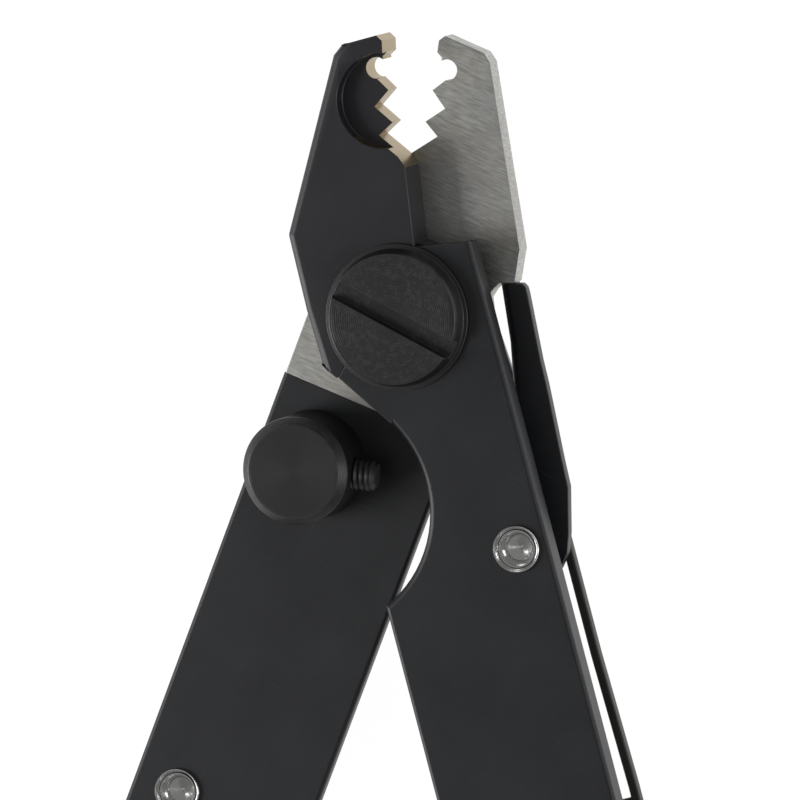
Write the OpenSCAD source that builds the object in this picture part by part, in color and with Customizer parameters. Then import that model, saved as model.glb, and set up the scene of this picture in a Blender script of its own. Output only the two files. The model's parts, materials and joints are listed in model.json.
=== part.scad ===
// Scissor-action fibre stripper: two shearing notched jaws on a slotted pivot screw, two folded
// sheet handles, an adjustable closing stop and a sprung prop that limits the opening.
// Drawn open. Origin on the pivot axis, at the back of the pivot nut. +Y to the jaws, +Z to the front.

/* [Levels] */
// Room for the return spring between the nut's flange and the rear jaw
spring_room = 2.3; // [2.1:0.05:3]
// Thickness of the front jaw
front_jaw_t = 5.4; // [5:0.1:6.5]
// Thickness of the rear jaw
rear_jaw_t = 2.95; // [2.6:0.05:3.4]
// Running gap between the sliding faces of the jaws
jaw_gap = 0.05; // [0.03:0.01:0.1]
// How far the left sheet lies below the sliding plane
left_drop = 0.15; // [0.1:0.05:0.3]

/* [Handles] */
// Angle of each handle from the middle line
handle_angle = 18.1; // [16:0.1:20]
// Length of a handle from the pivot axis
handle_len = 101; // [80:1:120]
// Sheet thickness of the right handle
right_t = 1.6; // [1.2:0.1:1.8]
// Sheet thickness of the left handle
left_t = 1.5; // [1.2:0.1:1.6]
// Outer edge of the right handle from the line through the pivot
right_out = 10.0; // [9.6:0.1:11]
// Inner edge of the right handle from the line through the pivot
right_in = 9.7; // [9:0.1:11]
// Outer edge of the left handle from the line through the pivot
left_out = 11.15; // [10.9:0.05:12]
// Inner edge of the left handle from the line through the pivot
left_in = 9.5; // [9:0.1:10]
// Height of the right sheet's top outer corner above the pivot
right_top = 6.02; // [5.5:0.02:6.2]
// Width of the bend relief slit in that corner
relief_w = 0.38; // [0.3:0.02:0.5]
// Length of the bend relief slit
relief_len = 0.8; // [0.5:0.1:1]
// Distance of the bend relief slit from the outer edge
relief_in = 0.22; // [0.15:0.01:0.4]
// Depth of the folded-back outer edge, sheet thickness included
fold_depth = 3; // [2.2:0.1:3.4]
// Corner radius at the free end of a handle
end_r = 8; // [5:0.5:9]
// Distance from the pivot axis to the top edge of the left sheet
left_top = 11.75; // [11:0.25:13]
// Radius of the hollow cut-out in the right handle
cut_r = 13.05; // [13:0.05:13.4]
// Depth of the turned-back rim of the cut-out, sheet thickness included
rim_depth = 4; // [3:0.1:4.4]

/* [Jaws] */
// Radius of the round relief in the front jaw
relief_r = 5.2; // [4.6:0.1:5.6]
// Depth of the round relief
relief_depth = 2; // [1:0.1:3]
// Radius of the round notch near the tips
round_notch_r = 1.18; // [0.9:0.02:1.3]
// Distance of the jaws' cutting line from the pivot axis, to the left
cut_line = 0.85; // [0.5:0.05:1.2]
// Radius of the rear jaw round the pivot
rear_eye_r = 8.6; // [8:0.1:8.8]

/* [Pivot] */
// Diameter of the screw head's rim
head_d = 16; // [14.8:0.1:17]
// Diameter of the screw head's flat face
face_d = 14.2; // [12:0.1:14.4]
// Height of the screw head
head_h = 2.4; // [1.8:0.1:3]
// Thickness of the screw head's rim
rim_t = 0.5; // [0.3:0.1:0.8]
// Width of the screwdriver slot
slot_w = 2; // [1.4:0.1:2.6]
// Depth of the screwdriver slot
slot_depth = 1.3; // [0.8:0.1:1.6]
// Diameter of the nut's barrel, on which the rear jaw turns
barrel_d = 8; // [7:0.1:9]
// Diameter of the screw's shank
shank_d = 5; // [4:0.1:5.6]
// Diameter of the nut's flange
flange_d = 15; // [14:0.1:16]
// Thickness of the nut's flange
flange_t = 0.9; // [0.7:0.1:1]
// Thickness of the washer behind the rear jaw
washer_t = 0.45; // [0.3:0.05:0.5]
// Radial clearance of a pin in its hole
fit = 0.05; // [0.02:0.01:0.08]

/* [Stop post] */
// Diameter of the post
post_d = 11.9; // [10:0.1:12.4]
// Height of the post above the left sheet
post_h = 7.75; // [7:0.05:8.5]
// Width of the chamfer on the post's face
post_chamfer = 0.85; // [0.3:0.05:1.2]
// Diameter of the set screw
set_d = 3.5; // [3:0.1:4]
// Length of the set screw
set_len = 9.5; // [8:0.1:10.5]
// Reach of the set screw's tip from the post's axis
set_reach = 8.4; // [7.6:0.1:8.5]
// Height of the set screw's axis above the left sheet
set_z = 3.55; // [3:0.05:4]
// Width across the flats of the set screw's socket
set_socket = 1.6; // [1:0.1:2]

/* [Rivets] */
// Outer diameter of a tubular rivet's flared head
rivet_head_d = 5.2; // [4.8:0.1:5.6]
// Height of a tubular rivet's head
rivet_head_h = 0.45; // [0.3:0.05:0.7]
// Diameter of a tubular rivet's shank
rivet_d = 3.8; // [3.6:0.1:4.2]
// Diameter of a tubular rivet's hole
rivet_hole_d = 2.8; // [2:0.1:3]
// Diameter of the post's shank
post_shank_d = 5; // [4:0.1:6]

/* [Opening stop] */
// Thickness of the stop lever's sheet
lever_t = 1.35; // [1:0.05:1.5]
// Depth of the stop lever's folded leg, sheet thickness included
leg_depth = 3.6; // [2.4:0.1:4]
// Thickness of the lever spring's strip
leaf_t = 1.0; // [0.8:0.05:1.1]
// Width of the lever spring's strip, from front to back
leaf_w = 1.4; // [1.2:0.1:2]
// Gap between the stop lever and the washers beside it
lever_gap = 0.05; // [0.03:0.01:0.1]
// Thickness of the stop lever's washers
lever_washer_t = 0.25; // [0.2:0.05:0.3]

/* [Return spring] */
// Wire diameter of the return spring
wire_d = 0.8; // [0.5:0.05:0.8]
// Clearance between the return spring's coil and the washer inside it
coil_room = 1.6; // [0.4:0.1:1.7]

/* [Hidden] */

$fn = 96;
eps = 0.01;
black = [0.07, 0.07, 0.08];
steel = [0.62, 0.61, 0.58];
nickel = [0.8, 0.8, 0.8];

// Levels that follow from the stack of plates
rear_back = flange_t + spring_room;
rear_top = rear_back + rear_jaw_t;
mate_z = rear_top + jaw_gap;
front_z = mate_z + front_jaw_t;
left_face = mate_z - left_drop;
left_back = left_face - left_t;
right_back = front_z - right_t;
eye_r = min(head_d, face_d + 0.2) / 2;
lever_top = mate_z - lever_washer_t - lever_gap;
lever_back = lever_top - lever_t;
leaf_top = lever_back - 0.1;
leaf_back = leaf_top - leaf_w;
foot_back = leaf_top - leaf_t;
neck_d = barrel_d + 1;
washer_r = neck_d / 2 + 0.5;
coil_r = washer_r + coil_room + wire_d / 2;
neck_top = rear_back - jaw_gap - washer_t;
coil_low = flange_t + jaw_gap + wire_d / 2;
coil_high = rear_back - 0.1 - wire_d / 2;

// Places in a handle's own frame: [outwards from the pivot line, towards the jaws]
cut_centre = [-14.85, -18.1];
rivet_at = [6.4, -27.45];
anchor_at = [6, -60.2];
left_rivet_at = [5.85, -60.1];
post_at = [4.4, -19.9];
left_spring_pin = [1.5, -13.8];
// Where the return spring's right arm turns up inside the folded edge, towards the jaws
arm_end = -11.6;
// Stop lever: its inner edge from the top down, then the rest of its outline
lever_inner = [[10.35, 0.65], [9.7, -5.7], [7.45, -17.2]];
lever_outline = concat(lever_inner, [
  [3.15, -26.7], [5.35, -30.6], [8.85, -31.1], [10.1, -29.6], [10.85, -27.5], [12.1, -22.6],
  [12.2, -19.65], [12.65, -11.2], [12.7, -8.55], [13.15, -1.15], [13.15, -0.4], [12.85, 0.1]
]);
// Tab folded down behind the stop lever, and the spring's strip that presses on its outer side
lug_low = -25.2;
lug_high = -23.4;
lug_w = 0.8;
lug_depth = 1.5;
lug_gap = 0.05;
leaf_line = [[10.3, -23.8], [10.3, -41], [10.65, -56], [10.65, -63.2]];
lug_x = leaf_line[0][0] - leaf_t - lug_gap - lug_w;
// Clearance between the rear jaw's heel and the top of the stop lever
heel_gap = 0.08;
// Direction of the set screw, in the open pose
set_angle = -2;
// Direction of the screwdriver slot
slot_angle = -23.4;

// Cutting edge of a jaw: [distance from the cutting line, height above the pivot]
upper_edge = [[3.1, 30.35], [2.42, 29.8], [2.3, 28.5], [2.85, 27.95]];
round_notch = [3.45, 26.65];
lower_edge = [[3.35, 25.5], [1.98, 24.35], [3.48, 22.45], [1.35, 20.88], [2.8, 19.37], [0.02, 17.42]];
notch_start = 125;
notch_end = -95;

function polar(c, r, a) = [c[0] + r * cos(a), c[1] + r * sin(a)];
function mirrored(pts) = [for (p = pts) [-p[0], p[1]]];
function reversed(pts) = [for (i = [len(pts) - 1:-1:0]) pts[i]];
// The round notch bulges away from the cutting line
function notch_arc() = [for (a = [notch_start:-20:notch_end]) polar(round_notch, round_notch_r, a)];
function cutting_edge() = concat(upper_edge, notch_arc(), lower_edge);
function right_place(p) = [
  p[0] * cos(handle_angle) - p[1] * sin(handle_angle),
  p[0] * sin(handle_angle) + p[1] * cos(handle_angle)
];
// A point of the rear jaw's heel, just above a point of the stop lever, in the jaws' own frame
function heel(p, dx, dy) = right_place(p) + [cut_line + dx, heel_gap + dy];
function left_place(p) = [-right_place(p)[0], right_place(p)[1]];

module right_frame() { rotate([0, 0, handle_angle]) children(); }
module left_frame() { mirror([1, 0, 0]) rotate([0, 0, handle_angle]) children(); }
module slab(low, high) { translate([0, 0, low]) linear_extrude(high - low) children(); }
module pin(r, low, high) { translate([0, 0, low]) cylinder(r = r, h = high - low); }

// A straight strap from the height start down to the free end, with rounded corners
module strap(inner, outer, start) {
  low = -handle_len;
  translate([-inner, low + end_r]) square([inner + outer, start - low - end_r]);
  translate([end_r - inner, low]) square([inner + outer - 2 * end_r, end_r + eps]);
  for (x = [end_r - inner, outer - end_r]) translate([x, low + end_r]) circle(r = end_r);
}

module right_sheet() {
  difference() {
    union() {
      strap(right_in, right_out, -24);
      polygon([[right_out, right_top], [3.6, 6.97], [-8.3, -4.8], [-4.2, -10.5],
               [-right_in, -24], [right_out, -24 - eps]]);
      rotate([0, 0, -handle_angle]) circle(r = eye_r);
    }
    translate(cut_centre) circle(r = cut_r);
  }
}

// Band behind the edge of the cut-out, between two distances from it
module cut_band(near, far) {
  intersection() {
    translate(cut_centre) difference() {
      circle(r = cut_r + far);
      circle(r = cut_r + near);
    }
    translate([-8.6, -28.6]) square([20, 17.6]);
  }
}

module right_handle() color(black) difference() {
  right_frame() union() {
    slab(right_back, front_z) right_sheet();
    slab(front_z - rim_depth, right_back + eps) cut_band(0, right_t);
    slab(front_z - fold_depth, right_back + eps)
      translate([right_out - right_t, -handle_len + end_r])
        square([right_t, handle_len - end_r + right_top - 0.05]);
  }
  right_frame() translate([right_out - relief_in - relief_w, right_top - relief_len, right_back - 1])
    cube([relief_w, 2 * relief_len, right_t + 2]);
  pin(barrel_d / 2 + fit, 0, front_z + eps);
  for (p = [rivet_at, anchor_at]) translate(right_place(p)) pin(rivet_d / 2 + fit, 0, front_z + eps);
}

module front_jaw_plan() {
  translate([-cut_line, 0]) polygon(concat(
    mirrored(reversed(cutting_edge())),
    [[-7.12, 29], [-7.97, 27.85], [-12.11, 7.95], [-9.68, -0.07], [-7.58, -5.81], [-7.11, -6.21],
     [-5.75, -7.2], [1.45, -2], [2.3, 8], [0.83, 16.4]]
  ));
}

module front_tang_plan() {
  limit = right_out - right_t - 0.1;
  arm_limit = limit - wire_d - 0.1;
  right_frame() difference() {
    union() {
      polygon([[limit, 5], [limit, arm_end + 1.6], [arm_limit, arm_end + 0.7], [arm_limit, -31], [arm_limit - 2, -33],
               [3.6, -33], [1, -30], [-6, -9], [-6, 0], [0, 5]]);
      circle(r = limit);
    }
    translate(cut_centre) circle(r = cut_r + right_t + 0.15);
  }
}

module front_jaw() color(black) difference() {
  union() {
    slab(mate_z, front_z) difference() {
      front_jaw_plan();
      right_frame() right_sheet();
      circle(r = eye_r + 0.1);
    }
    slab(mate_z, right_back) difference() {
      union() {
        front_jaw_plan();
        front_tang_plan();
      }
      right_frame() translate(cut_centre) circle(r = cut_r + right_t + 0.15);
    }
  }
  translate([-2.84, 23.3, front_z - relief_depth]) cylinder(r = relief_r, h = relief_depth + eps);
  pin(barrel_d / 2 + fit, 0, front_z + eps);
  translate(right_place(rivet_at)) pin(rivet_d / 2 + fit, 0, front_z + eps);
}

module rear_jaw_plan() {
  translate([-cut_line, 0]) polygon(concat(
    cutting_edge(),
    [[-0.85, 16.4], [-2.3, 8], [-7, 4], [0, 0], [8, 0]],
    [heel(lever_inner[0], -0.75, -0.9), heel(lever_inner[0], 0, 0), heel([12.1, 0.25], 0, 0)],
    [[12.6, 7], [12.7, 7.75], [8.28, 27.8], [7.55, 28.8]]
  ));
  circle(r = rear_eye_r);
  left_frame() polygon([[left_out - 0.25, 3.5], [left_out - 0.25, -left_top], [-left_in + 0.1, -left_top],
                        [-left_in + 0.1, 0], [5, 6]]);
}

module rear_tang_plan() {
  limit = left_out - left_t - 0.15;
  left_frame() polygon([[limit, -left_top + eps], [limit, -64], [limit - 2, -66], [3, -66], [1, -64],
                        [-3, -30], [-7, -left_top + eps]]);
}

module rear_jaw() color(steel) difference() {
  union() {
    slab(rear_back, rear_top) rear_jaw_plan();
    slab(rear_back, left_back) rear_tang_plan();
  }
  pin(barrel_d / 2 + fit, 0, front_z);
  translate(left_place(left_rivet_at)) pin(rivet_d / 2 + fit, 0, front_z);
  translate(left_place(post_at)) pin(post_shank_d / 2 + fit, 0, front_z);
  translate(left_place(left_spring_pin)) pin(wire_d / 2 + fit, 0, rear_back + 1);
}

module left_handle() color(black) difference() {
  left_frame() union() {
    slab(left_back, left_face) strap(left_in, left_out, -left_top);
    slab(left_face - fold_depth, left_back + eps)
      translate([left_out - left_t, -handle_len + end_r]) square([left_t, handle_len - end_r - left_top]);
  }
  translate(left_place(left_rivet_at)) pin(rivet_d / 2 + fit, 0, front_z);
  translate(left_place(post_at)) pin(post_shank_d / 2 + fit, 0, front_z);
}

module pivot_screw() color(black) difference() {
  union() {
    pin(head_d / 2, front_z, front_z + rim_t);
    translate([0, 0, front_z + rim_t])
      cylinder(r1 = (head_d + face_d) / 4, r2 = face_d / 2, h = head_h - rim_t);
    pin(shank_d / 2, rear_back, front_z + eps);
  }
  rotate([0, 0, slot_angle]) translate([-head_d, -slot_w / 2, front_z + head_h - slot_depth])
    cube([2 * head_d, slot_w, slot_depth + eps]);
}

module pivot_nut() color(steel) difference() {
  union() {
    pin(flange_d / 2, 0, flange_t);
    pin(neck_d / 2, 0, neck_top);
    pin(barrel_d / 2, 0, front_z - 0.1);
  }
  pin(shank_d / 2 + fit, rear_back - 0.5, front_z);
  for (x = [-1, 1]) translate([5 * x, 0, -eps]) cylinder(r = 0.75, h = flange_t - 0.2 + eps);
}

module pivot_washer() color(steel) difference() {
  pin(washer_r, neck_top, neck_top + washer_t);
  pin(barrel_d / 2 + fit, 0, front_z);
}

module tubular_rivet(low, high) {
  difference() {
    union() {
      pin(rivet_d / 2, low - rivet_head_h, high);
      rivet_head(high);
      translate([0, 0, low]) mirror([0, 0, 1]) rivet_head(0);
    }
    pin(rivet_hole_d / 2 - 0.35, low - 2, high - 2.2);
    translate([0, 0, high - 2.2]) cylinder(r1 = rivet_hole_d / 2 - 0.35, r2 = rivet_hole_d / 2, h = 1.2);
    pin(rivet_hole_d / 2, high - 1 - eps, high + 2);
    translate([0, 0, high + rivet_head_h - 0.4]) cylinder(r1 = rivet_hole_d / 2, r2 = rivet_hole_d / 2 + 0.42, h = 0.41);
  }
}

module rivet_head(z) {
  translate([0, 0, z]) rotate_extrude() translate([rivet_d / 4, 0]) {
    square([rivet_head_d / 2 - rivet_d / 4 - rivet_head_h, rivet_head_h]);
    translate([rivet_head_d / 2 - rivet_d / 4 - rivet_head_h, 0]) intersection() {
      circle(r = rivet_head_h);
      square(rivet_head_h);
    }
  }
}

module ring_at(r, hole_r, low, high) {
  difference() {
    pin(r, low, high);
    pin(hole_r + fit, low - 1, high + 1);
  }
}

rivet_stack_back = lever_back - lever_gap - lever_washer_t;
module lever_rivet() color(nickel) translate(right_place(rivet_at)) tubular_rivet(rivet_stack_back, front_z);
module spring_rivet() color(nickel) translate(right_place(anchor_at)) tubular_rivet(foot_back, front_z);
left_washer_back = rear_back - 0.4;
module left_rivet() color(nickel) translate(left_place(left_rivet_at)) tubular_rivet(left_washer_back, left_face);
module left_rivet_washer() color(steel)
  translate(left_place(left_rivet_at)) ring_at(3.6, rivet_d / 2, left_washer_back, rear_back);
module post_washer() color(steel)
  translate(left_place(post_at)) ring_at(4.2, post_shank_d / 2, rear_back - 0.5, rear_back);
module spring_spacer() color(steel)
  translate(right_place(anchor_at))
    ring_at(right_out - right_t - 0.1 - anchor_at[0], rivet_d / 2, leaf_top, right_back);
module lever_washers() color(steel) translate(right_place(rivet_at)) {
  ring_at(rivet_head_d / 2, rivet_d / 2, lever_top + lever_gap, mate_z);
  ring_at(rivet_head_d / 2, rivet_d / 2, rivet_stack_back, lever_back - lever_gap);
}

module stop_post() color(black) translate(left_place(post_at)) difference() {
  union() {
    pin(post_d / 2, left_face, left_face + post_h - post_chamfer);
    translate([0, 0, left_face + post_h - post_chamfer])
      cylinder(r1 = post_d / 2, r2 = post_d / 2 - post_chamfer, h = post_chamfer);
    pin(post_shank_d / 2, rear_back - 0.5, left_face + eps);
    translate([0, 0, rear_back - 1.1]) cylinder(r1 = 2.6, r2 = 3.3, h = 0.6);
  }
  translate([0, 0, left_face + set_z]) rotate([0, 90, set_angle])
    translate([0, 0, -post_d]) cylinder(r = set_d / 2 + fit, h = 2 * post_d);
}

module set_screw() color(black)
  translate(concat(left_place(post_at), [left_face + set_z])) rotate([0, 90, set_angle]) difference() {
    union() {
      translate([0, 0, set_reach - set_len]) cylinder(r = set_d / 2, h = set_len - 0.5);
      translate([0, 0, set_reach - 0.5]) cylinder(r1 = set_d / 2, r2 = set_d / 2 - 0.5, h = 0.5);
    }
    translate([0, 0, set_reach - set_len - eps]) cylinder(d = set_socket / cos(30), h = 2, $fn = 6);
  }

module lever_plan() {
  polygon(lever_outline);
  translate(rivet_at) circle(r = 3.3);
}

// Folded leg along the lever's inner edge: the edge itself and the same line one sheet outwards
module lever_leg_plan() {
  intersection() {
    polygon(lever_outline);
    polygon(concat(lever_inner, reversed([for (p = lever_inner) [p[0] + lever_t, p[1]]])));
  }
}

module stop_lever() color(black) right_frame() difference() {
  union() {
    slab(lever_back, lever_top) lever_plan();
    slab(lever_top - leg_depth, lever_top - eps) lever_leg_plan();
    slab(lever_back - lug_depth, lever_back + eps)
      translate([lug_x, lug_low]) square([lug_w, lug_high - lug_low]);
  }
  translate(rivet_at) pin(rivet_d / 2 + fit, 0, front_z);
}

// Strip beside the handle, whose upper end bears on the lever's tab, with a flat foot on the anchor rivet
module lever_spring() color(black) right_frame() difference() {
  union() {
    slab(leaf_back, leaf_top)
      polygon(concat(leaf_line, reversed([for (p = leaf_line) [p[0] - leaf_t, p[1]]])));
    slab(foot_back, leaf_top) {
      translate([anchor_at[0], anchor_at[1] - 3]) square([leaf_line[3][0] - anchor_at[0] - eps, 6]);
      translate(anchor_at) circle(r = 3);
    }
  }
  translate(anchor_at) pin(rivet_d / 2 + fit, 0, front_z);
}

// Round wire swept along a path, with frames carried from ring to ring
function unit(v) = v / norm(v);
function tangents(p) = [for (i = [0:len(p) - 1]) unit(p[min(i + 1, len(p) - 1)] - p[max(i - 1, 0)])];
function carried(t, n0) = [for (i = 0, n = n0; i < len(t); i = i + 1, n = unit(n - (n * t[min(i, len(t) - 1)]) * t[min(i, len(t) - 1)])) n];
module wire(path, d, n0, sides = 8) {
  t = tangents(path);
  n = carried(t, n0);
  points = [for (i = [0:len(path) - 1], k = [0:sides - 1])
    let (a = 360 * k / sides) path[i] + d / 2 * (n[i] * cos(a) + cross(t[i], n[i]) * sin(a))];
  walls = [for (i = [0:len(path) - 2], k = [0:sides - 1]) let (j = (k + 1) % sides)
    [i * sides + k, (i + 1) * sides + k, (i + 1) * sides + j, i * sides + j]];
  first = [for (k = [0:sides - 1]) k];
  last = [for (k = [sides - 1:-1:0]) (len(path) - 1) * sides + k];
  polyhedron(points = points, faces = concat(walls, [first], [last]), convexity = 6);
}

// End of the wire: along the back, then turned up into its hole by a bend of radius r
function hook(p, z, rise, dir, r) =
  concat([for (a = [0:30:90]) [p[0] - dir[0] * r * (1 - sin(a)), p[1] - dir[1] * r * (1 - sin(a)),
                               z + r * (1 - cos(a))]], [[p[0], p[1], z + rise]]);

module return_spring() color(steel) {
  p_right = right_place([right_out - right_t - wire_d / 2 - 0.05, arm_end]);
  p_left = left_place(left_spring_pin);
  // The wire leaves the coil along its tangents
  a_right = atan2(p_right[1], p_right[0]) + acos(coil_r / norm(p_right));
  a_left = atan2(p_left[1], p_left[0]) - acos(coil_r / norm(p_left));
  turns = 360 + (a_left - a_right + 360) % 360;
  steps = 40;
  coil = [for (i = [0:steps]) let (a = a_right + turns * i / steps)
    [coil_r * cos(a), coil_r * sin(a), coil_low + (coil_high - coil_low) * i / steps]];
  start = coil[0];
  end = coil[steps];
  dir_right = unit([p_right[0] - start[0], p_right[1] - start[1]]);
  dir_left = unit([p_left[0] - end[0], p_left[1] - end[1]]);
  path = concat(
    reversed(hook(p_right, coil_low, right_back - 0.2 - coil_low, dir_right, 1)),
    coil,
    hook(p_left, coil_high, rear_back + 0.8 - coil_high, dir_left, rear_back - coil_high)
  );
  wire(path, wire_d, [1, 0, 0]);
}

front_jaw();
right_handle();
rear_jaw();
left_handle();
pivot_screw();
pivot_nut();
pivot_washer();
return_spring();
stop_post();
post_washer();
set_screw();
left_rivet();
left_rivet_washer();
stop_lever();
lever_rivet();
lever_washers();
lever_spring();
spring_spacer();
spring_rivet();
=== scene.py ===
# %% [markdown]
# # A fibre stripper, dressed for the camera
# The tool is a pair of scissor-like halves. A thick blackened jaw and a bare ground jaw shear past each
# other on a big slotted screw. Each half ends in a pressed sheet handle. The engineering model comes as
# plain solids, already in place. What this file adds is what a machinist would look for: rounded and
# broken edges, grinding lines, turned rings, a cut thread, curled rivets, and several kinds of metal.

# %% Load the solids
import json
import math

import bmesh
import bpy
from mathutils import Matrix, Vector
from mathutils.geometry import delaunay_2d_cdt

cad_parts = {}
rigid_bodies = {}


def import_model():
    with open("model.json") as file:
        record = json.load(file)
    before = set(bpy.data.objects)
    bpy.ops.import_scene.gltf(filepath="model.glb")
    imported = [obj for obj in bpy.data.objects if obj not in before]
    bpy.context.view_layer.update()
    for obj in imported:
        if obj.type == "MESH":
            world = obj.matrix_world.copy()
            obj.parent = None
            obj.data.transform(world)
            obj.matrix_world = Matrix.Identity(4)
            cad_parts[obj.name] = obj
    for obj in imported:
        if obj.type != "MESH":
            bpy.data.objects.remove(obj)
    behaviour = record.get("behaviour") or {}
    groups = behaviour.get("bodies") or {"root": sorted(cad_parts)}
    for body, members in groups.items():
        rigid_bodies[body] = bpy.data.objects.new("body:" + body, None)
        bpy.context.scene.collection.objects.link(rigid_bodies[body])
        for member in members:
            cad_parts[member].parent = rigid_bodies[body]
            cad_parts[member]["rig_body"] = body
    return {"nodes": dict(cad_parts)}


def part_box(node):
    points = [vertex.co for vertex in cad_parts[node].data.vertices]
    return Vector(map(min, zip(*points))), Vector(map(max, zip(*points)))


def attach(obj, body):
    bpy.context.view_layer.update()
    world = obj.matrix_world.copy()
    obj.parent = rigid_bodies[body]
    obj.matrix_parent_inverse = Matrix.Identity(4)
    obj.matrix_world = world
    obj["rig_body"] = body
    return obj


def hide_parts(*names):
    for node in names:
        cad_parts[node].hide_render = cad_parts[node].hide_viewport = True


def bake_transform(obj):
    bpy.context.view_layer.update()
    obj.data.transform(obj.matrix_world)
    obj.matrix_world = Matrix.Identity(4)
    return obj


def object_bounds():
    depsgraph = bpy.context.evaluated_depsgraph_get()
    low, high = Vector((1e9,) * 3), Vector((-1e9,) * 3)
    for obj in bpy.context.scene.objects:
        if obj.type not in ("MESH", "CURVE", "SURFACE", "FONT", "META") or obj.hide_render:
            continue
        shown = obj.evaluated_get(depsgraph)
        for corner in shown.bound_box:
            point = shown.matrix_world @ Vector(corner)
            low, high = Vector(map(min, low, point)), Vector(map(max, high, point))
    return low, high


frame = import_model()
cad_low, cad_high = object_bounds()
MM = 0.001
scene = bpy.context.scene
scene.view_settings.view_transform = "Standard"
print("solids:", len(frame["nodes"]), "overall mm:", [round(c / MM, 1) for c in cad_high - cad_low])

# %% [markdown]
# ## The camera
# A long lens from 0.9 m flattens the view, as in a catalogue. The tool lies on its back, so the camera
# looks down on it, a little from the right and from the jaws' end.
# Turning the camera object by three angles is enough, and its place follows from what it aims at.

# %% Camera
CAMERA_TILT = (-6.58, 16.26, 2.84)
CAMERA_DISTANCE = 900 * MM
CAMERA_AIM = Vector((0.97, -8.86, 12.51)) * MM
CAMERA_LENS = 374.2

camera_data = bpy.data.cameras.new("camera")
camera_data.lens = CAMERA_LENS
camera_data.sensor_width = 36
camera_data.clip_start = 0.05
camera_data.clip_end = 10
camera = bpy.data.objects.new("camera", camera_data)
camera.rotation_euler = [math.radians(a) for a in CAMERA_TILT]
camera.location = CAMERA_AIM + camera.rotation_euler.to_matrix() @ Vector((0, 0, CAMERA_DISTANCE))
scene.collection.objects.link(camera)
scene.camera = camera
print("camera at mm:", [round(c / MM) for c in camera.location])

# %% [markdown]
# ## Shader maths as plain expressions
# A finish is a small calculation at each point of the surface. Wiring it by hand hides the idea, so
# `Shade` wraps one socket: adding or multiplying two of them makes the Math node and returns its result.
# `Finish` is one material. It hands out nodes, and keeps the one Principled shader that they end in.


# %% Shade, Wiring and Finish
class Shade:
    """One node socket that can be used in arithmetic."""

    def __init__(self, wiring, socket):
        self.wiring = wiring
        self.socket = socket

    def maths(self, operation, *values):
        settings = {"operation": operation}
        return self.wiring.node("ShaderNodeMath", settings, dict(enumerate(values)))

    def __add__(self, other):
        return self.maths("ADD", self, other)

    def __sub__(self, other):
        return self.maths("SUBTRACT", self, other)

    def __rsub__(self, other):
        return self.maths("SUBTRACT", other, self)

    def __mul__(self, other):
        return self.maths("MULTIPLY", self, other)

    __radd__ = __add__
    __rmul__ = __mul__

    def sine(self):
        return self.maths("SINE", self)

    def above(self, level, softness):
        """0 below the level, 1 above it, with a soft step between."""
        settings = {"interpolation_type": "SMOOTHSTEP"}
        sockets = {"Value": self, "From Min": level - softness, "From Max": level + softness}
        return self.wiring.node("ShaderNodeMapRange", settings, sockets)


class Wiring:
    """A node tree whose nodes are asked for one at a time."""

    def node(self, kind, settings, sockets, output=0):
        made = self.tree.nodes.new(kind)
        for key, value in settings.items():
            setattr(made, key, value)
        for key, value in sockets.items():
            self.feed(made.inputs[key], value)
        return Shade(self, made.outputs[output])

    def feed(self, socket, value):
        if isinstance(value, Shade):
            self.tree.links.new(value.socket, socket)
        else:
            socket.default_value = value


class Finish(Wiring):
    """A material, and the one Principled shader that its nodes end in."""

    def __init__(self, name, metallic, specular=0.5):
        self.material = bpy.data.materials.new(name)
        self.material.use_nodes = True
        self.tree = self.material.node_tree
        self.shader = self.tree.nodes["Principled BSDF"]
        self.shader.inputs["Metallic"].default_value = metallic
        self.shader.inputs["Specular IOR Level"].default_value = specular

    def place(self, centre=(0, 0, 0), turn=0.0, stretch=(1, 1, 1)):
        """Object coordinates in millimetres, from a centre, turned in the plane, then stretched."""
        raw = self.node("ShaderNodeTexCoord", {}, {}, "Object")
        offset = {0: raw, 1: Vector(centre) * MM}
        moved = self.node("ShaderNodeVectorMath", {"operation": "SUBTRACT"}, offset)
        sockets = {"Vector": moved, "Angle": math.radians(turn)}
        turned = self.node("ShaderNodeVectorRotate", {"rotation_type": "Z_AXIS"}, sockets)
        scale = Vector(stretch) / MM
        return self.node("ShaderNodeVectorMath", {"operation": "MULTIPLY"}, {0: turned, 1: scale})

    def radius(self, centre):
        """Distance from an upright axis, in millimetres."""
        flat = self.place(centre, stretch=(1, 1, 0))
        return self.node("ShaderNodeVectorMath", {"operation": "LENGTH"}, {0: flat}, "Value")

    def noise(self, where, scale, detail=3.0, rough=0.5):
        sockets = {"Vector": where, "Scale": scale, "Detail": detail, "Roughness": rough}
        return self.node("ShaderNodeTexNoise", {}, sockets)

    def cells(self, where, scale):
        """Distance to the nearest of many scattered points."""
        return self.node("ShaderNodeTexVoronoi", {}, {"Vector": where, "Scale": scale})

    def mix(self, share, first, second):
        """One colour over another."""
        sockets = {"Factor": share, 6: first, 7: second}
        return self.node("ShaderNodeMix", {"data_type": "RGBA"}, sockets, 2)

    def bump(self, height, depth):
        """A relief of that height in millimetres where the value is 1."""
        sockets = {"Strength": 1.0, "Distance": depth * MM, "Height": height}
        self.feed(self.shader.inputs["Normal"], self.node("ShaderNodeBump", {}, sockets))

    def done(self, colour, roughness):
        self.feed(self.shader.inputs["Base Color"], colour)
        self.feed(self.shader.inputs["Roughness"], roughness)
        return self.material


def tone(red, green=None, blue=None):
    """A colour as the shader wants it. One number alone is a grey."""
    return (red, red if green is None else green, red if blue is None else blue, 1)


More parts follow.
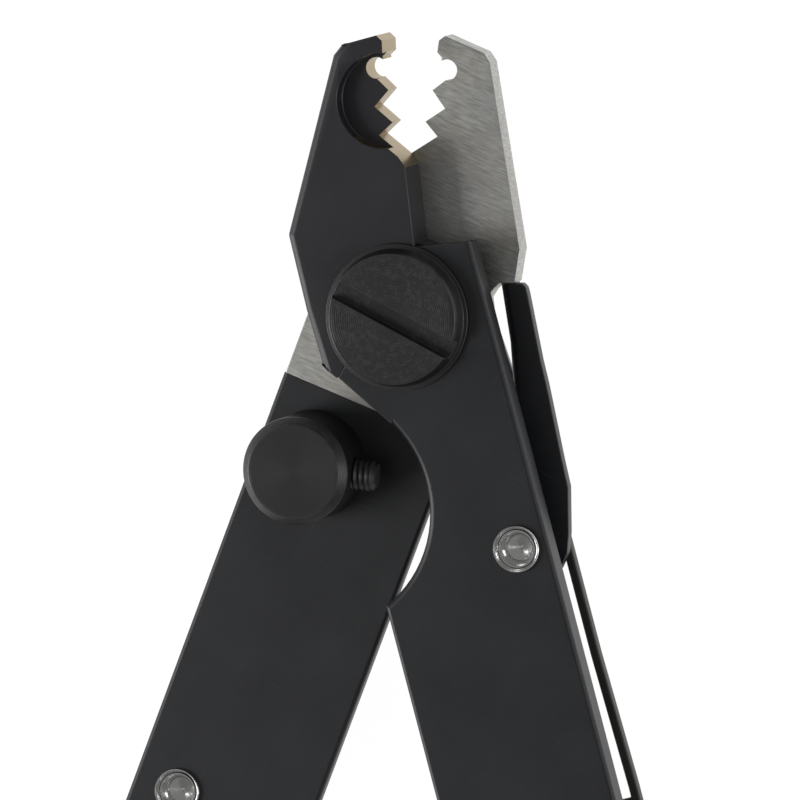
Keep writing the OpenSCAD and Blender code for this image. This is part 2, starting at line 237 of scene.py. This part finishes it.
# %% [markdown]
# ## Black oxide
# The oxide is a few thousandths of a millimetre thick, so it hides nothing: it darkens the steel and
# leaves its texture. Close up it is uneven. Broad clouds come from the bath, small pale specks are
# dust or pits, and hairlines are where parts rubbed in the bin. Each of the three is its own noise, and
# each lifts the colour by a little. The same recipe serves the ground jaw, the pressed sheet and the
# turned pieces, with other sizes.


# %% The black finishes
def hairlines(finish, turn, length, spacing, level):
    """Thin streaks along one direction: noise stretched until its spots are lines."""
    where = finish.place(turn=turn, stretch=(1 / length, 1 / spacing, 1))
    return finish.noise(where, 1.0, 2.0).above(level, 0.012)


def black_oxide(name, colour, lift, roughness, specks=0.6):
    finish = Finish(name, 0.0, 0.5)
    plain = finish.place()
    clouds = finish.noise(plain, 0.11, 4.0, 0.6)
    grain = finish.noise(plain, 3.2, 3.0)
    dust = 1 - finish.cells(plain, 0.42).above(0.055, 0.02)
    dust = dust * finish.noise(plain, 0.9).above(1 - 0.5 * specks, 0.03)
    lines = hairlines(finish, 24, 9, 0.35, 0.735) + hairlines(finish, -58, 6, 0.3, 0.745)
    light = clouds * 0.55 + grain * 0.18 + lines * 0.5 + dust * 2.6
    shade = finish.mix(light, tone(*colour), tone(*lift))
    finish.bump(grain * 0.6 + lines * 0.4, 0.012)
    return finish.done(shade, roughness + (clouds - 0.5) * 0.18 + grain * 0.08)


SHEET_BLACK = (0.0065, 0.007, 0.0085)
SHEET_LIFT = (0.024, 0.026, 0.030)
sheet_black = black_oxide("sheet_black", SHEET_BLACK, SHEET_LIFT, 0.38)
jaw_black = black_oxide("jaw_black", (0.009, 0.009, 0.0115), (0.028, 0.029, 0.035), 0.36)
# A lighter, shinier black for the narrow edge breaks: partly edge wear, partly a painted highlight along
# the edges
edge_wear_and_highlight = black_oxide("edge_wear_and_highlight", (0.018, 0.018, 0.021), (0.06, 0.06, 0.065), 0.33)


def turned_black(name, centre, pitch, inner, outer):
    """Black oxide over the rings that a lathe leaves on a face."""
    finish = Finish(name, 0.0, 0.5)
    radius = finish.radius(centre)
    plain = finish.place(centre)
    wander = finish.noise(plain, 0.7, 2.0)
    rings = (radius * (2 * math.pi / pitch) + wander * 2.0).sine()
    band = radius.above(inner, 0.5) * (1 - radius.above(outer, 0.3))
    worn = band * finish.noise(plain, 1.6, 4.0, 0.7).above(0.53, 0.06) * rings.above(0.2, 0.5)
    dust = 1 - finish.cells(plain, 0.7).above(0.06, 0.02)
    dust = dust * finish.noise(plain, 1.3).above(0.62, 0.03)
    grain = finish.noise(plain, 4.0)
    light = grain * 0.25 + rings * 0.06 + worn * 0.9 + dust * 1.8
    shade = finish.mix(light, tone(0.008, 0.008, 0.0085), tone(0.05, 0.048, 0.044))
    finish.bump(rings * 0.25 + grain * 0.3, 0.015)
    return finish.done(shade, 0.36 + grain * 0.12)


# %% [markdown]
# ## Bare metals
# The rear jaw is surface ground, and a grinding wheel leaves short slanting scratches, darker in the
# valleys. The notches of the black jaw were cut after blackening, so their walls are bare and have
# taken a straw tint. Rivets are nickel plated, smooth and bright. Each is a metal, so its colour is its
# reflection, and most of its look comes from roughness and from the fine relief.


# %% The bare finishes
GRIND_TURN = 21


def ground_steel():
    finish = Finish("ground_steel", 1.0)
    broad = finish.noise(finish.place(), 0.09, 3.0)
    long_lines = finish.noise(finish.place(turn=GRIND_TURN, stretch=(0.30, 7.5, 1)), 1.0, 4.0, 0.65)
    short_lines = finish.noise(finish.place(turn=GRIND_TURN - 6, stretch=(0.8, 3.2, 1)), 1.0, 3.0, 0.6)
    tint = finish.noise(finish.place(), 0.22, 2.0)
    lines = long_lines * 0.6 + short_lines * 0.4
    shade = finish.mix(lines.above(0.5, 0.22), tone(0.30, 0.295, 0.275), tone(0.66, 0.66, 0.63))
    shade = finish.mix(tint.above(0.52, 0.12) * 0.35, shade, tone(0.44, 0.40, 0.33))
    shade = finish.mix(broad.above(0.56, 0.1) * 0.2, shade, tone(0.36, 0.37, 0.40))
    finish.bump(lines, 0.02)
    return finish.done(shade, 0.34 + long_lines * 0.2)


def plain_metal(name, colour, roughness):
    finish = Finish(name, 1.0)
    plain = finish.place()
    cloud = finish.noise(plain, 0.6, 4.0)
    grain = finish.noise(plain, 6.0, 2.0)
    dark = tone(*(c * 0.72 for c in colour))
    shade = finish.mix(cloud * 0.7 + grain * 0.3, dark, tone(*colour))
    finish.bump(grain, 0.006)
    return finish.done(shade, roughness + (cloud - 0.5) * 0.12)


ground = ground_steel()
straw_steel = plain_metal("straw_steel", (0.47, 0.37, 0.22), 0.36)
cut_steel = plain_metal("cut_steel", (0.5, 0.5, 0.49), 0.32)
nickel = plain_metal("nickel_plate", (0.86, 0.86, 0.85), 0.16)
zinc = plain_metal("washer_steel", (0.5, 0.5, 0.49), 0.34)
spring_wire = plain_metal("spring_wire", (0.33, 0.33, 0.34), 0.3)
spring_brown = black_oxide("spring_brown", (0.012, 0.012, 0.009), (0.045, 0.044, 0.034), 0.42)
thread_black = black_oxide("thread_black", (0.012, 0.012, 0.012), (0.06, 0.058, 0.055), 0.4)

# %% [markdown]
# ## Rounding the edges that a press and a file round
# No edge of a real tool is perfectly sharp. A bend in sheet has an outer radius near its thickness, a
# punched edge rolls over on the side where the punch came in, and everything else has a small break.
# One Bevel modifier does all of it: each edge carries a weight, and the width is a share of the largest
# radius. So `rounded` takes a rule that looks at an edge and answers with its radius in millimetres. The
# solid itself may not be changed, so it works on a merged copy, which then stands in for the solid.


# %% Rounded copies
LARGEST_ROUND = 1.0
CORNER = math.radians(28)
CREASE = math.radians(40)
WIDE_ROUND = 0.11


def baked(piece):
    """The piece with its modifiers worked into a plain mesh."""
    bpy.context.view_layer.update()
    evaluated = piece.evaluated_get(bpy.context.evaluated_depsgraph_get())
    mesh = bpy.data.meshes.new_from_object(evaluated)
    piece.modifiers.clear()
    piece.data = mesh
    return piece


def retiled(mesh):
    """Cuts every many-sided flat face afresh into well shaped triangles, which shade evenly."""
    shape = bmesh.new()
    shape.from_mesh(mesh)
    for face in [f for f in shape.faces if len(f.verts) > 4]:
        flat = face.normal.to_track_quat("Z", "Y").to_matrix().inverted()
        places = [(flat @ vert.co) / MM for vert in face.verts]
        height = sum(place.z for place in places) / len(places)
        loop = [list(range(len(places)))]
        found = delaunay_2d_cdt([place.to_2d() for place in places], [], loop, 1, 1e-5)
        corners = []
        for place, origin in zip(found[0], found[3]):
            spot = flat.transposed() @ Vector((place.x, place.y, height)) * MM
            corners.append(face.verts[origin[0]] if origin else shape.verts.new(spot))
        for triangle in found[2]:
            tips = [corners[i] for i in triangle]
            if len(set(tips)) > 2 and not shape.faces.get(tips):
                tile = shape.faces.new(tips)
                tile.material_index = face.material_index
        shape.faces.remove(face)
    shape.to_mesh(mesh)
    shape.free()


def shaded(piece):
    """Smooth shading with creases, each corner's normal led by its largest faces."""
    piece.data.shade_smooth()
    piece.data.set_sharp_from_angle(angle=CREASE)
    level = piece.modifiers.new("level", "WEIGHTED_NORMAL")
    level.keep_sharp = True
    return baked(piece)


def seat(piece, *nodes):
    """The piece rides with the nodes' body and stands for them, and the nodes are hidden."""
    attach(piece, frame["nodes"][nodes[0]]["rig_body"])
    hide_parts(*nodes)
    print(f"{piece.name}: {len(piece.data.polygons)} faces")
    return piece


def rounded(node, rule, finish, edge_finish, steps=3, prepare=None):
    shape = bmesh.new()
    shape.from_mesh(frame["nodes"][node].data)
    if prepare:
        prepare(shape)
    bmesh.ops.remove_doubles(shape, verts=shape.verts, dist=0.002 * MM)
    bmesh.ops.dissolve_limit(shape, angle_limit=math.radians(1), verts=shape.verts, edges=shape.edges)
    weights = shape.edges.layers.float.new("bevel_weight_edge")
    for edge in shape.edges:
        if len(edge.link_faces) == 2 and edge.calc_face_angle() > CORNER:
            middle = (edge.verts[0].co + edge.verts[1].co) / (2 * MM)
            normals = [face.normal for face in edge.link_faces]
            edge[weights] = min(1, rule(middle, normals, edge.calc_length() / MM) / LARGEST_ROUND)
    mesh = bpy.data.meshes.new(node + "_dressed")
    shape.to_mesh(mesh)
    shape.free()
    piece = bpy.data.objects.new(node + "_dressed", mesh)
    scene.collection.objects.link(piece)
    mesh.materials.append(finish)
    mesh.materials.append(edge_finish)
    bevel = piece.modifiers.new("rounding", "BEVEL")
    bevel.limit_method = "WEIGHT"
    bevel.width = LARGEST_ROUND * MM
    bevel.segments = steps
    bevel.use_clamp_overlap = False
    bevel.loop_slide = False
    bevel.material = 1
    baked(piece)
    # Only the narrow breaks keep the edge finish. On the black parts that is a lighter black, edge wear
    # and a painted highlight together: a broad bend keeps the finish of the sheet
    for face in piece.data.polygons:
        corners = [piece.data.vertices[i].co for i in face.vertices]
        sides = [(a - b).length for a, b in zip(corners, corners[1:] + corners[:1])]
        if face.material_index == 1 and min(sides) > WIDE_ROUND * MM:
            face.material_index = 0
    retiled(piece.data)
    return seat(shaded(piece), node)


def paint(piece, finish, wanted):
    """Gives a finish to the faces whose centre and normal pass the test."""
    piece.data.materials.append(finish)
    index = len(piece.data.materials) - 1
    count = 0
    for face in piece.data.polygons:
        if wanted(face.center / MM, face.normal):
            face.material_index = index
            count += 1
    print(f"{piece.name}: {count} faces in {finish.name}")


# %% [markdown]
# ## Handles
# Each handle is a strip of sheet 20 mm wide, folded back along its outer edge. The bend catches a soft
# line of light, and so does the turned-back rim of the hollow cut-out. To find those edges the rules
# look from the handle's own frame, which is the tool's frame turned by the handle's angle. The straight
# side, the round end and the other side run into each other smoothly, so they share one radius: two
# radii that meet on a nearly straight line would cross far outside the part.

# %% Handles
HANDLE_ANGLE = math.radians(18.1)
CUT_CENTRE = Vector((-14.85, -18.1))
CUT_RADIUS = 13.05
front_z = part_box("right_handle")[1].z / MM
left_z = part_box("left_handle")[1].z / MM


def in_right_handle(point):
    """Outwards from the pivot line, and towards the jaws."""
    c, s = math.cos(HANDLE_ANGLE), math.sin(HANDLE_ANGLE)
    return Vector((point.x * c + point.y * s, point.y * c - point.x * s))


def in_left_handle(point):
    return in_right_handle(Vector((-point.x, point.y)))


def right_place(x, y):
    """A point of the right handle's frame, in the tool's frame. The left handle is its mirror image."""
    c, s = math.cos(HANDLE_ANGLE), math.sin(HANDLE_ANGLE)
    return Vector((x * c - y * s, y * c + x * s, 0))


SLIT_FLOOR = 5.22
SLIT_TOP = 5.9


def close_slit(shape):
    """Closes the small bend relief slit by pulling its floor up to the top edge. The slit stays closed in
    this dressed copy, because the fold beside it is narrower than its own rounding."""
    places = {vert: in_right_handle(vert.co / MM) for vert in shape.verts}
    for vert, place in places.items():
        if abs(place.y - SLIT_FLOOR) < 0.02 and place.x > 9.2:
            above = [v for v, q in places.items() if q.y > SLIT_TOP and abs(q.x - place.x) < 0.05]
            target = min(above, key=lambda v: abs(v.co.z - vert.co.z) + 0.01 * MM * abs(places[v].y))
            vert.co = target.co


RIGHT_OUTER = 10
CUT_LOWER_END = -32
LEFT_UPPER_END = -11.9
SHORTEST_BEND = 0.3
BREAK = 0.12
BEND = 0.5
CUT_BEND = 0.7


def right_handle_rule(middle, normals, length):
    place = in_right_handle(middle)
    if middle.z < front_z - 0.01:
        return BREAK
    if abs((place - CUT_CENTRE).length - CUT_RADIUS) < 0.06:
        return CUT_BEND
    if abs(place.x - RIGHT_OUTER) < 0.002 or place.y < CUT_LOWER_END:
        return BEND
    return BREAK


def left_handle_rule(middle, normals, length):
    below_top = in_left_handle(middle).y < LEFT_UPPER_END
    if middle.z > left_z - 0.01 and below_top and length > SHORTEST_BEND:
        return BEND
    return BREAK


rounded("right_handle", right_handle_rule, sheet_black, edge_wear_and_highlight, 5, close_slit)
rounded("left_handle", left_handle_rule, sheet_black, edge_wear_and_highlight, 5)


# %% [markdown]
# ## Jaws
# The black jaw has a broad rounding along its left side, where the hand meets it. The notches that cut
# the fibre's coating stay nearly sharp, and their walls get the bare straw finish.

# %% Jaws
NOTCHES_FROM = 16.5
NOTCH_BREAK = 0.05
SIDE_ROUND = 0.9
SHORT_EDGE = 0.5


def front_jaw_rule(middle, normals, length):
    faces_left = any(n.x < -0.55 and abs(n.z) < 0.1 for n in normals)
    if faces_left and middle.z > front_z - 0.01 and -4 < middle.y < 29.4 and middle.x < -8.2:
        return SIDE_ROUND
    if (middle.y > NOTCHES_FROM and middle.x > -5.6) or length < SHORT_EDGE:
        return NOTCH_BREAK
    return BREAK


def rear_jaw_rule(middle, normals, length):
    if middle.y > NOTCHES_FROM and middle.x < 4:
        return 0.04
    return 0.09


front_jaw = rounded("front_jaw", front_jaw_rule, jaw_black, edge_wear_and_highlight, 4)
rear_jaw = rounded("rear_jaw", rear_jaw_rule, ground, cut_steel, 2)


def notch_wall(centre, normal):
    upright = abs(normal.z) < 0.3 and normal.x > -0.3
    return upright and centre.x > -5.9 and centre.y > 16.2


paint(front_jaw, straw_steel, notch_wall)


# %% [markdown]
# ## Pivot and post
# Both are turned on a lathe, so their rings are centred on their own axes. The plates under them are
# plain washers with a small even break.

# %% Pivot and post
def even(radius):
    """The same radius on every edge."""
    return lambda middle, normals, length: radius


post_low, post_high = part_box("stop_post")
post_centre = (post_low + post_high) / (2 * MM)
pivot_turned = turned_black("pivot_turned", (0, 0, 0), 0.24, 2.2, 6.9)
post_turned = turned_black("post_turned", (post_centre.x, post_centre.y, 0), 0.2, 5.0, 5.6)
rounded("pivot_screw", even(0.09), pivot_turned, edge_wear_and_highlight, 3)
rounded("stop_post", even(0.1), post_turned, edge_wear_and_highlight, 3)
rounded("pivot_nut", even(0.1), zinc, zinc, 2)
for plate in ("pivot_washer", "post_washer", "left_rivet_washer", "lever_washers", "spring_spacer"):
    rounded(plate, even(0.06), zinc, zinc, 2)


# %% [markdown]
# ## Stop lever
# The lever's leg is folded back along its inner edge, a line of two straight stretches. Only that line
# gets the wide radius of a bend.

# %% Lever
LEVER_BEND = 1.0
LEVER_INNER = [Vector((10.35, 0.65)), Vector((9.7, -5.7)), Vector((7.45, -17.2))]


def near_line(place, start, end, reach):
    along = end - start
    share = (place - start).dot(along) / along.length_squared
    return -0.02 < share < 1.02 and (place - start - along * share).length < reach


def lever_rule(middle, normals, length):
    place = in_right_handle(middle)
    bent = any(near_line(place, a, b, 0.03) for a, b in zip(LEVER_INNER, LEVER_INNER[1:]))
    if bent and max(n.z for n in normals) > 0.9:
        return LEVER_BEND
    return BREAK


rounded("stop_lever", lever_rule, sheet_black, edge_wear_and_highlight, 5)

# %% [markdown]
# ## Springs
# The strip spring is riveted to the handle and its free end rests on the lever. The coil spring sits
# behind the rear jaw. Its wire is drawn in two lengths that overlap inside the coil. One rides with each
# handle, and the overlap is longer than the angle the handles close by, so no gap ever opens.

leaf = rounded("lever_spring", even(0.2), spring_brown, spring_brown, 3)
leaf.parent = None
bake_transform(leaf)

spring_low, spring_high = (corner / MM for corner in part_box("return_spring"))
WIRE = 0.8
COIL_RADIUS = 7.0
COIL_LOW = spring_low.z + WIRE / 2
COIL_HIGH = COIL_LOW + 1.35
RIGHT_ARM = right_place(7.95, -11.6)
LEFT_ARM = right_place(1.5, -13.8) * Vector((-1, 1, 1))
OVERLAP = math.radians(45)


def wire(name, path, radius, finish, body):
    """Round wire along a path in millimetres."""
    curve = bpy.data.curves.new(name, "CURVE")
    curve.dimensions = "3D"
    curve.bevel_depth = radius * MM
    curve.bevel_resolution = 4
    curve.use_fill_caps = True
    spline = curve.splines.new("POLY")
    spline.points.add(len(path) - 1)
    for point, place in zip(spline.points, path):
        point.co = (*(place * MM), 1)
    drawn = bpy.data.objects.new(name + "_path", curve)
    scene.collection.objects.link(drawn)
    bpy.context.view_layer.update()
    mesh = bpy.data.meshes.new_from_object(drawn.evaluated_get(bpy.context.evaluated_depsgraph_get()))
    bpy.data.objects.remove(drawn)
    mesh.materials.clear()
    mesh.materials.append(finish)
    mesh.shade_smooth()
    mesh.set_sharp_from_angle(angle=CREASE)
    piece = bpy.data.objects.new(name, mesh)
    scene.collection.objects.link(piece)
    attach(piece, body)
    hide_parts("return_spring")
    print(f"{name}: {len(mesh.polygons)} faces")


def coil(start, stop, from_share, to_share, steps):
    """Points of the coil between two angles, with its height as a share of the full rise."""
    points = []
    for i in range(steps + 1):
        share = i / steps
        angle = start + (stop - start) * share
        height = COIL_LOW + (COIL_HIGH - COIL_LOW) * (from_share + (to_share - from_share) * share)
        points.append(Vector((COIL_RADIUS * math.cos(angle), COIL_RADIUS * math.sin(angle), height)))
    return points


def turned_up(place, start, rise, radius):
    """From the straight arm, a bend of that radius into an upright end."""
    arm = (Vector((place.x, place.y, start.z)) - start).normalized()
    corner = Vector((place.x, place.y, start.z))
    bend = []
    for i in range(7):
        angle = math.pi / 2 * i / 6
        back = arm * radius * (1 - math.sin(angle))
        bend.append(corner - back + Vector((0, 0, radius * (1 - math.cos(angle)))))
    return bend + [corner + Vector((0, 0, rise))]


def tangent_angle(place, side):
    """Where on the coil a straight arm to that place leaves it."""
    return math.atan2(place.y, place.x) + side * math.acos(COIL_RADIUS / place.to_2d().length)


leave_right = tangent_angle(RIGHT_ARM, 1)
turns = 2 * math.pi + (tangent_angle(LEFT_ARM, -1) - leave_right) % (2 * math.pi)
leave_left = leave_right + turns
lap = OVERLAP / turns
main_coil = coil(leave_right, leave_left, 0, 1, 110)
last_coil = coil(leave_left - OVERLAP, leave_left, 1 - lap, 1, 14)
right_end = turned_up(RIGHT_ARM, main_coil[0], spring_high.z - COIL_LOW, 1.0)
left_end = turned_up(LEFT_ARM, main_coil[-1], 1.1, 0.6)
wire("spring_right", right_end[::-1] + main_coil, WIRE / 2, spring_wire, "front_half")
wire("spring_left", last_coil + left_end, WIRE / 2 - 0.01, spring_wire, "rear_half")

# %% [markdown]
# ## Rivets and the set screw
# Semi-tubular rivets are turned as one profile: a thin curled lip, a funnel down to the drilled hole,
# and the cone that a drill leaves at its bottom. A Geometry Nodes tree sets one on each place and
# stretches its shank to that stack of plates. A second tree cuts the set screw's thread: each point of a
# plain cylinder moves inwards by a triangle wave of its height and its angle round the axis.


# %% Geometry Nodes helper
class Growth(Wiring):
    """A Geometry Nodes tree with named sizes."""

    def __init__(self, name, sizes):
        self.tree = bpy.data.node_groups.new(name, "GeometryNodeTree")
        face = self.tree.interface
        face.new_socket("Geometry", in_out="OUTPUT", socket_type="NodeSocketGeometry")
        face.new_socket("Geometry", in_out="INPUT", socket_type="NodeSocketGeometry")
        self.keys = {}
        for label, kind in sizes.items():
            socket = face.new_socket(label, in_out="INPUT", socket_type="NodeSocket" + kind)
            self.keys[label] = socket.identifier
        self.given = self.tree.nodes.new("NodeGroupInput")

    def size(self, label):
        return Shade(self, self.given.outputs[label])

    def finish_with(self, geometry, finish):
        real = self.node("GeometryNodeRealizeInstances", {}, {"Geometry": geometry})
        painted = self.node("GeometryNodeSetMaterial", {}, {"Geometry": real, "Material": finish})
        result = self.tree.nodes.new("NodeGroupOutput")
        self.tree.links.new(painted.socket, result.inputs[0])

    def grow(self, name, mesh, values):
        piece = bpy.data.objects.new(name, mesh)
        scene.collection.objects.link(piece)
        modifier = piece.modifiers.new("growth", "NODES")
        modifier.node_group = self.tree
        for label, value in values.items():
            modifier[self.keys[label]] = value
        return baked(piece)


# %% Rivets
LIP = 2.6
HOLE = 1.36
SHANK = 1.9
# Radius and height of the turned profile, from the cone's point to the back head
RIVET_PROFILE = [
    (0, -2.05), (0.16, -1.95), (0.18, -1.86), (HOLE, -1.25), (HOLE + 0.05, -1.1), (1.5, -0.85),
    (1.8, -0.45), (2.1, -0.05), (2.3, 0.22), (2.36, 0.36), (2.42, 0.44), (2.5, 0.45), (2.57, 0.38),
    (LIP, 0.25), (2.58, 0), (SHANK, 0), (SHANK, -2.4),
]
RIVET_BACK = [(SHANK, 0), (2.5, 0), (LIP, -0.12), (2.5, -0.36), (2.2, -0.45), (0, -0.45)]


def rivet_mesh():
    """The turned rivet, with the back head's points marked so that the shank can stretch."""
    shape = bmesh.new()
    low = shape.verts.layers.float.new("low")
    line = []
    for is_back, profile in enumerate((RIVET_PROFILE, RIVET_BACK)):
        for radius, height in profile:
            vert = shape.verts.new(Vector((radius, 0, height - 3 * is_back)) * MM)
            vert[low] = is_back
            line.append(vert)
    for first, second in zip(line, line[1:]):
        shape.edges.new((first, second))
    spin = {"cent": (0, 0, 0), "axis": (0, 0, 1), "angle": 2 * math.pi, "steps": 64, "use_merge": True}
    bmesh.ops.spin(shape, geom=shape.verts[:] + shape.edges[:], **spin)
    bmesh.ops.remove_doubles(shape, verts=shape.verts, dist=0.001 * MM)
    bmesh.ops.recalc_face_normals(shape, faces=shape.faces)
    mesh = bpy.data.meshes.new("rivet")
    shape.to_mesh(mesh)
    shape.free()
    return mesh


rivets = Growth("rivets", {"Places": "Object"})
places = rivets.node("GeometryNodeObjectInfo", {}, {"Object": rivets.size("Places")}, "Geometry")
points = rivets.node("GeometryNodeMeshToPoints", {}, {"Mesh": places})
copies = {"Points": points, "Instance": rivets.size("Geometry")}
copies = rivets.node("GeometryNodeInstanceOnPoints", {}, copies)
real = rivets.node("GeometryNodeRealizeInstances", {}, {"Geometry": copies})
low_share = rivets.node("GeometryNodeInputNamedAttribute", {"data_type": "FLOAT"}, {"Name": "low"})
grip = rivets.node("GeometryNodeInputNamedAttribute", {"data_type": "FLOAT"}, {"Name": "grip"})
drop = rivets.node("ShaderNodeCombineXYZ", {}, {"Z": low_share * grip * -1.0})
stretched = rivets.node("GeometryNodeSetPosition", {}, {"Geometry": real, "Offset": drop})
rivets.finish_with(stretched, nickel)
TEMPLATE_GRIP = 3.0
RIVET_HEAD = 0.45


def rivet_set(name, fronts, nodes):
    """Rivets whose lips sit on these levels. The back heads reach as far as the solids' do."""
    mesh = bpy.data.meshes.new(name + "_places")
    boxes = [[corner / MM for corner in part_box(node)] for node in nodes]
    centres = [(low + high) / 2 for low, high in boxes]
    mesh.from_pydata([(c.x * MM, c.y * MM, level * MM) for c, level in zip(centres, fronts)], [], [])
    grips = mesh.attributes.new("grip", "FLOAT", "POINT")
    for i, (low, high) in enumerate(boxes):
        grips.data[i].value = (fronts[i] - (low.z + RIVET_HEAD) - TEMPLATE_GRIP) * MM
    marks = bpy.data.objects.new(name + "_places", mesh)
    scene.collection.objects.link(marks)
    piece = rivets.grow(name, rivet_mesh(), {"Places": marks})
    bpy.data.objects.remove(marks)
    return seat(shaded(piece), *nodes)


rivet_set("right_rivets", [front_z, front_z], ["lever_rivet", "spring_rivet"])
rivet_set("left_rivets", [left_z], ["left_rivet"])

# %% [markdown]
# ## The set screw's thread
# The wave runs once per turn and once per pitch, so its crests wind round as a helix. Near both ends the
# rod tapers, as a screw's ends are chamfered.

# %% Set screw
SCREW_RADIUS = 1.75
SCREW_LENGTH = 9.5
SCREW_REACH = 8.4
SCREW_HEIGHT = 3.55
SCREW_TURN = math.radians(-2)

thread_sizes = dict.fromkeys(("Radius", "Length", "Pitch", "Depth", "Taper"), "Float")
thread = Growth("thread", thread_sizes)
radius, long, pitch = (thread.size(label) for label in ("Radius", "Length", "Pitch"))
settings = {"fill_type": "TRIANGLE_FAN"}
sockets = {"Vertices": 56, "Side Segments": 190, "Fill Segments": 2, "Radius": radius, "Depth": long}
rod = thread.node("GeometryNodeMeshCylinder", settings, sockets, "Mesh")
at = thread.node("GeometryNodeInputPosition", {}, {})
x, y, z = (thread.node("ShaderNodeSeparateXYZ", {}, {"Vector": at}, axis) for axis in "XYZ")
around = y.maths("ARCTAN2", y, x) * (0.5 / math.pi)
wave = z.maths("PINGPONG", z.maths("DIVIDE", z, pitch) - around, 0.5) * 2.0
to_end = z.maths("MINIMUM", long * 0.5 - z, long * 0.5 + z)
end_share = z.maths("DIVIDE", to_end, thread.size("Taper"))
taper = 1 - z.maths("MINIMUM", end_share, 1.0)
inwards = thread.size("Depth") * (1 - wave) + taper * thread.size("Depth") * 1.2
factor = 1 - inwards.maths("DIVIDE", inwards, radius)
moved = thread.node("ShaderNodeCombineXYZ", {}, {"X": x * factor, "Y": y * factor, "Z": z})
turned_rod = thread.node("GeometryNodeSetPosition", {}, {"Geometry": rod, "Position": moved})
thread.finish_with(turned_rod, thread_black)
PITCH, THREAD_DEPTH, CHAMFER = 0.62, 0.27, 0.5
values = {"Radius": SCREW_RADIUS, "Length": SCREW_LENGTH}
values.update({"Pitch": PITCH, "Depth": THREAD_DEPTH, "Taper": CHAMFER})
values = {label: value * MM for label, value in values.items()}
screw = thread.grow("set_screw_thread", bpy.data.meshes.new("thread"), values)
middle = Vector((SCREW_REACH - SCREW_LENGTH / 2, 0, 0))
axis_place = Vector((post_centre.x, post_centre.y, left_z + SCREW_HEIGHT))
aim = Matrix.Rotation(SCREW_TURN, 4, "Z")
lay_flat = Matrix.Rotation(math.pi / 2, 4, "Y")
screw.data.transform(Matrix.Translation((axis_place + aim @ middle) * MM) @ aim @ lay_flat)
screw.data.shade_smooth()
screw.data.set_sharp_from_angle(angle=math.radians(60))
seat(screw, "set_screw")

# %% [markdown]
# ## The table and the light
# The background is plain white, so the table glows white to the camera and keeps only a faint shadow.
# Two tall soft boxes stand left and right, and draw the light lines along the bends.


# %% Stage
def table_material():
    """White to the camera and in reflections, with a little of its own shading for the shadow."""
    finish = Finish("white_table", 0.0, 0.2)
    finish.done(tone(0.8), 0.9)
    tree = finish.tree
    seen = finish.node("ShaderNodeLightPath", {}, {}, "Is Camera Ray")
    glossy = finish.node("ShaderNodeLightPath", {}, {}, "Is Glossy Ray")
    glow = finish.node("ShaderNodeEmission", {}, {"Color": tone(1), "Strength": 1.15})
    share = (seen + glossy).maths("MINIMUM", seen + glossy, 1.0) * 0.85
    sockets = {0: share, 2: glow}
    mixed = finish.node("ShaderNodeMixShader", {}, sockets)
    mix_node = mixed.socket.node
    tree.links.new(finish.shader.outputs[0], mix_node.inputs[1])
    tree.links.new(mixed.socket, tree.nodes["Material Output"].inputs["Surface"])
    return finish.material


TABLE_SIZE = 6.0
table_mesh = bpy.data.meshes.new("table")
half = TABLE_SIZE / 2
corners = [(-half, -half, 0), (half, -half, 0), (half, half, 0), (-half, half, 0)]
table_mesh.from_pydata(corners, [], [(0, 1, 2, 3)])
table_mesh.materials.append(table_material())
table = bpy.data.objects.new("table", table_mesh)
table.location.z = cad_low.z
scene.collection.objects.link(table)

world = bpy.data.worlds.new("studio")
scene.world = world
world.use_nodes = True
world.node_tree.nodes["Background"].inputs["Color"].default_value = tone(1)
world.node_tree.nodes["Background"].inputs["Strength"].default_value = 0.22


def softbox(name, place, size, power, aim=(0, 0, 0)):
    light_data = bpy.data.lights.new(name, "AREA")
    light_data.shape = "RECTANGLE"
    light_data.size, light_data.size_y = size
    light_data.energy = power
    light = bpy.data.objects.new(name, light_data)
    light.location = place
    light.rotation_euler = (Vector(aim) - light.location).to_track_quat("-Z", "Y").to_euler()
    scene.collection.objects.link(light)


softbox("left_box", (-0.9, -0.25, 0.5), (0.5, 1.0), 8)
softbox("right_box", (0.95, -0.1, 0.35), (0.35, 1.0), 3.5)
